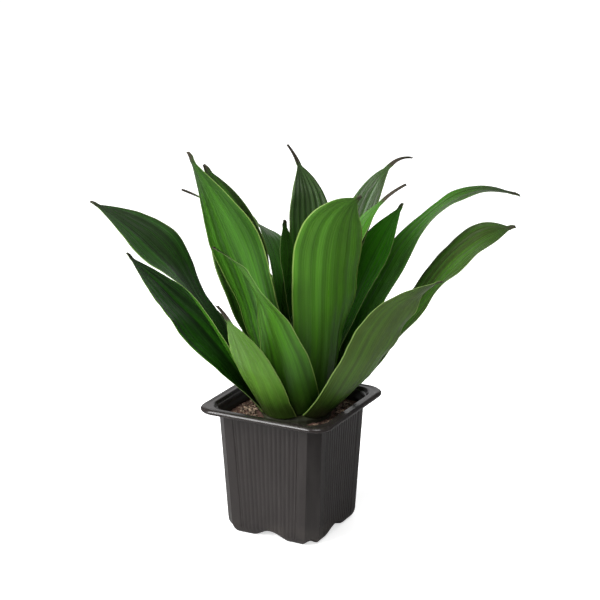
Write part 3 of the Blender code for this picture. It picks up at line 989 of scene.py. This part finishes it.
def make_floor():
    """Pale floor that glows for the camera, and is darker in reflections, most of all at the front right."""
    builder = bmesh.new()
    bmesh.ops.create_grid(builder, x_segments=1, y_segments=1, size=FLOOR_HALF)
    finish, shader = new_material("pale floor", 0.8)
    shader.inputs["Emission Color"].default_value = (1.0, 1.0, 1.0, 1.0)
    tree = finish.node_tree
    path = tree.nodes.new("ShaderNodeLightPath")
    x, y, _ = parts_of(tree, object_place(tree))
    front_right = smooth_range(tree, math_node(tree, "SUBTRACT", x, y), 0.16, 0.30)
    dim = math_node(tree, "MULTIPLY_ADD", front_right, -0.36, -0.52)
    shade = math_node(tree, "MULTIPLY_ADD", path.outputs["Is Glossy Ray"], dim, 0.9)
    tree.links.new(shade, shader.inputs["Base Color"])
    glow = scaled(tree, path.outputs["Is Camera Ray"], 0.65)
    tree.links.new(glow, shader.inputs["Emission Strength"])
    finish_mesh("floor", builder, [finish])


def make_backdrop():
    """White surrounding, dimmer as a light than to the camera and dimmer still in reflections."""
    world = bpy.data.worlds.new("studio")
    world.use_nodes = True
    bpy.context.scene.world = world
    tree = world.node_tree
    backdrop = tree.nodes["Background"]
    backdrop.inputs["Color"].default_value = (1.0, 1.0, 1.0, 1.0)
    path = tree.nodes.new("ShaderNodeLightPath")
    lit = math_node(tree, "MULTIPLY_ADD", path.outputs["Is Camera Ray"], 0.6, 0.4)
    mirrored = scaled(tree, path.outputs["Is Glossy Ray"], -0.24)
    tree.links.new(math_node(tree, "ADD", lit, mirrored), backdrop.inputs["Strength"])
    bpy.context.scene.view_settings.view_transform = "Standard"


def make_lights():
    """Key from the front left, a soft top and back light, and a narrow one for the rim's line of light."""
    middle = (0.0, 0.0, 0.15)
    area_light("key", (-0.80, -1.0, 1.3), middle, (1.0, 0.8), 27.0)
    area_light("top", (0.35, -0.3, 1.6), middle, (0.7, 0.7), 9.0)
    area_light("back", (-0.85, 1.6, 0.8), middle, (1.8, 0.8), 3.2)
    area_light("rim line", (-0.74, -1.28, 0.70), (0.0, 0.0, 0.12), (0.9, 0.25), 19.0)


def make_camera():
    """The camera at the photo's angle, shifted so that the plant stands where it stands in the photo."""
    azimuth = math.radians(CAMERA_AZIMUTH)
    elevation = math.radians(CAMERA_ELEVATION)
    back = Vector((math.sin(azimuth) * math.cos(elevation), -math.cos(azimuth) * math.cos(elevation),
                   math.sin(elevation)))
    right = Vector((math.cos(azimuth), math.sin(azimuth), 0.0))
    up = back.cross(right)
    data = bpy.data.cameras.new("camera")
    data.lens = CAMERA_LENS
    data.sensor_width = CAMERA_SENSOR
    camera = bpy.data.objects.new("camera", data)
    bpy.context.scene.collection.objects.link(camera)
    camera.matrix_world = Matrix((
        (right.x, up.x, back.x, 0.0), (right.y, up.y, back.y, 0.0), (right.z, up.z, back.z, 0.0),
        (0.0, 0.0, 0.0, 1.0)))
    camera.location = back * CAMERA_DISTANCE + right * CAMERA_RIGHT + up * CAMERA_UP
    bpy.context.scene.camera = camera


def make_leaves():
    """All the leaves, with one finish for each side and one for the margin."""
    veins = vein_group()
    upper = blade_material("leaf upper side", veins, (0.004, 0.021, 0.002), (0.039, 0.227, 0.007),
                           (0.050, 0.062, 0.034), 0.7, (0.13, 0.20, 0.05), 0.34)
    under = blade_material("leaf underside", veins, (0.010, 0.042, 0.002), (0.074, 0.279, 0.012),
                           (0.060, 0.068, 0.034), 0.1, (0.17, 0.26, 0.06), 0.38)
    margin = blade_material("leaf margin", veins, (0.05, 0.09, 0.02), (0.22, 0.34, 0.10),
                            (0.10, 0.11, 0.07), 0.5, (0.19, 0.28, 0.09), 0.45)
    for number, leaf in enumerate(LEAVES, start=1):
        make_leaf(number, leaf, [upper, under, margin])


def main():
    """Build every piece, give it its finish, and light it."""
    make_leaves()
    make_pot(pot_material())
    mix = earth_material("potting mix", (0.045, 0.020, 0.013), (0.30, 0.160, 0.105), 0.95, 260.0)
    bark = earth_material("bark bits", (0.040, 0.022, 0.013), (0.60, 0.44, 0.30), 0.85, 500.0)
    make_soil(mix)
    make_bits(bark)
    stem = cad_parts["stem"]
    stem.data.materials.clear()
    stem.data.materials.append(stem_material())
    make_floor()
    make_backdrop()
    make_lights()
    make_camera()


main()
